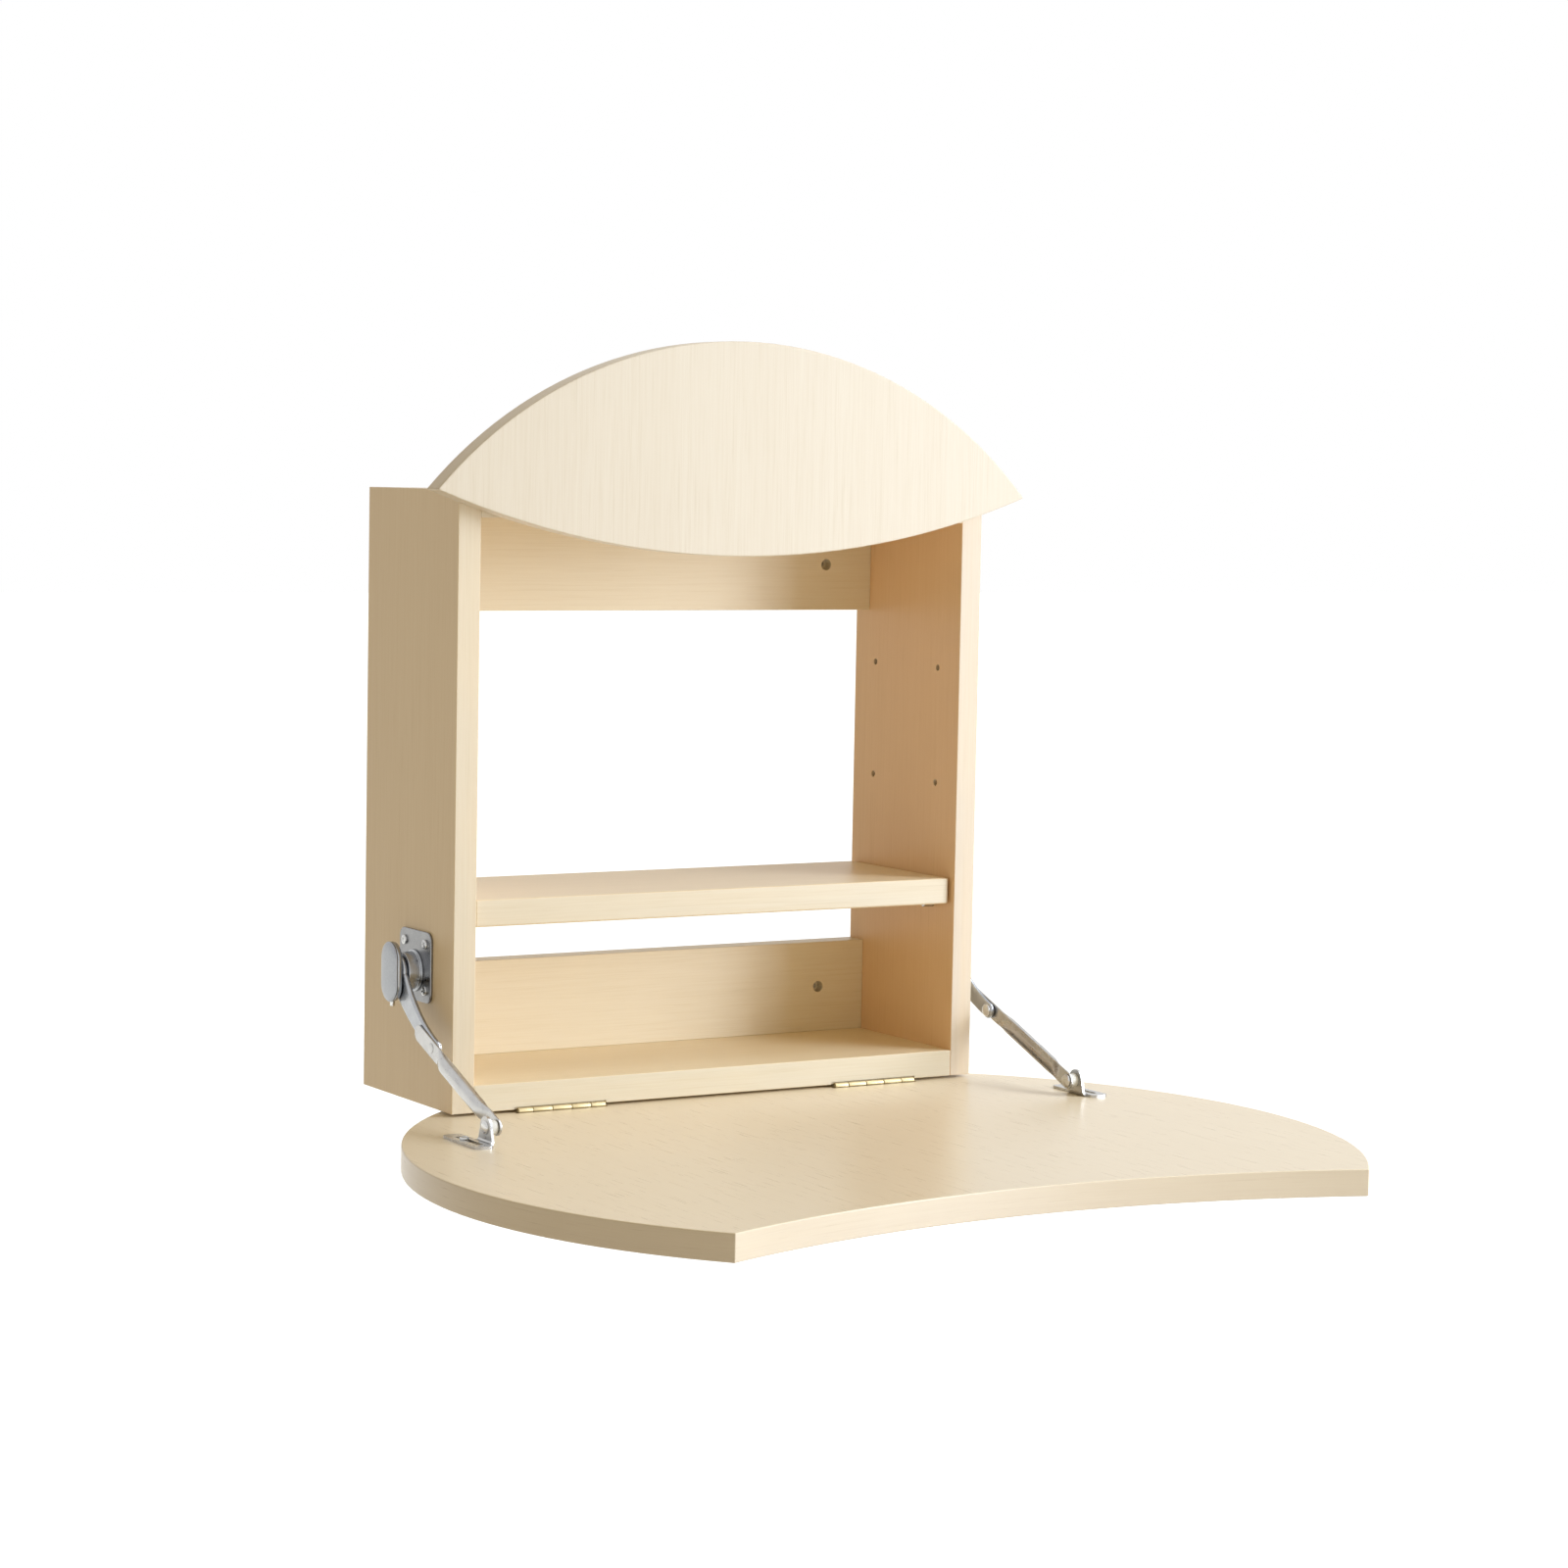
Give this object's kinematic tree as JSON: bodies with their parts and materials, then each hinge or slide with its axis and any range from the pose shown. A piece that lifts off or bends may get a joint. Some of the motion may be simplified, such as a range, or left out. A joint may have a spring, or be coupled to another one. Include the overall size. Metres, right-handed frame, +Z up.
{
  "type": "fold-down wall desk",
  "caption": "Wall-hung open cabinet with a loose shelf and a round front in two parts: a fixed crest and a hinged leaf that folds down as a desk on damped stays.",
  "frame": {"origin": "on the wall plane, at the middle of the four wall screws, which is also the centre of the round front when the leaf is folded up", "axes": "+X to the right seen from the room, +Y from the room into the wall, +Z up; the leaf is folded down at rest"},
  "size_m": [0.674, 0.6003, 0.583],
  "materials": {
    "boards": "clear matt lacquer on pale laminated wood",
    "round_front": "clear matt lacquer on pale laminated wood",
    "dowels": "plain beech",
    "pins": "nickel plated",
    "hinges": "polished brass",
    "stays": "satin nickel plate",
    "caps": "satin chrome",
    "bush": "white nylon"
  },
  "bodies": {
    "cabinet": {"bottom_panel": "boards", "bottom_rail": "boards", "carcass_dowels": "dowels", "crest_dowels": "dowels", "crest_panel": "round_front", "left_damper_adjuster": "stays", "left_damper_cap": "caps", "left_damper_drum": "stays", "left_damper_hub": "stays", "left_hinge_fixed_plate": "hinges", "left_hinge_fixed_screws": "hinges", "left_hinge_pin": "hinges", "left_plate_screws": "stays", "left_side_panel": "boards", "left_stay_plate": "stays", "right_damper_adjuster": "stays", "right_damper_cap": "caps", "right_damper_drum": "stays", "right_damper_hub": "stays", "right_hinge_fixed_plate": "hinges", "right_hinge_fixed_screws": "hinges", "right_hinge_pin": "hinges", "right_plate_screws": "stays", "right_side_panel": "boards", "right_stay_plate": "stays", "shelf": "boards", "shelf_pins": "pins", "top_panel": "boards", "top_rail": "boards"},
    "leaf": {"leaf_panel": "round_front", "left_bracket_screw": "stays", "left_hinge_moving_plate": "hinges", "left_hinge_moving_screws": "hinges", "left_leaf_bracket": "stays", "left_leaf_pivot": "stays", "left_pivot_bush": "bush", "right_bracket_screw": "stays", "right_hinge_moving_plate": "hinges", "right_hinge_moving_screws": "hinges", "right_leaf_bracket": "stays", "right_leaf_pivot": "stays", "right_pivot_bush": "bush"},
    "left_short_link": {"left_damper_rotor": "stays", "left_knee_rivet_inside": "stays", "left_short_arm": "stays"},
    "left_long_link": {"left_knee_rivet_outside": "stays", "left_long_arm": "stays"},
    "right_short_link": {"right_damper_rotor": "stays", "right_knee_rivet_inside": "stays", "right_short_arm": "stays"},
    "right_long_link": {"right_knee_rivet_outside": "stays", "right_long_arm": "stays"}
  },
  "joints": [
    {"name": "leaf_hinge", "type": "hinge", "parent": "cabinet", "child": "leaf", "pos_m": [0, -0.151, -0.226], "axis": [-1, 0, 0], "range_deg": [0, 90]},
    {"name": "left_damper_axle", "type": "hinge", "parent": "cabinet", "child": "left_short_link", "pos_m": [-0.2398, -0.09, -0.127], "axis": [1, 0, 0], "range_deg": [0, 71.15]},
    {"name": "left_leaf_pivot", "type": "hinge", "parent": "leaf", "child": "left_long_link", "pos_m": [-0.2429, -0.257, -0.2155], "axis": [1, 0, 0], "range_deg": [0, 21.34]},
    {"name": "right_damper_axle", "type": "hinge", "parent": "cabinet", "child": "right_short_link", "pos_m": [0.2398, -0.09, -0.127], "axis": [1, 0, 0], "range_deg": [0, 71.15]},
    {"name": "right_leaf_pivot", "type": "hinge", "parent": "leaf", "child": "right_long_link", "pos_m": [0.2429, -0.257, -0.2155], "axis": [1, 0, 0], "range_deg": [0, 21.34]}
  ],
  "couplings": [
    {"joint": "left_damper_axle", "follows": "leaf_hinge", "ratio": 0.79056},
    {"joint": "left_leaf_pivot", "follows": "leaf_hinge", "ratio": 0.23713},
    {"joint": "right_damper_axle", "follows": "leaf_hinge", "ratio": 0.79056},
    {"joint": "right_leaf_pivot", "follows": "leaf_hinge", "ratio": 0.23713}
  ]
}
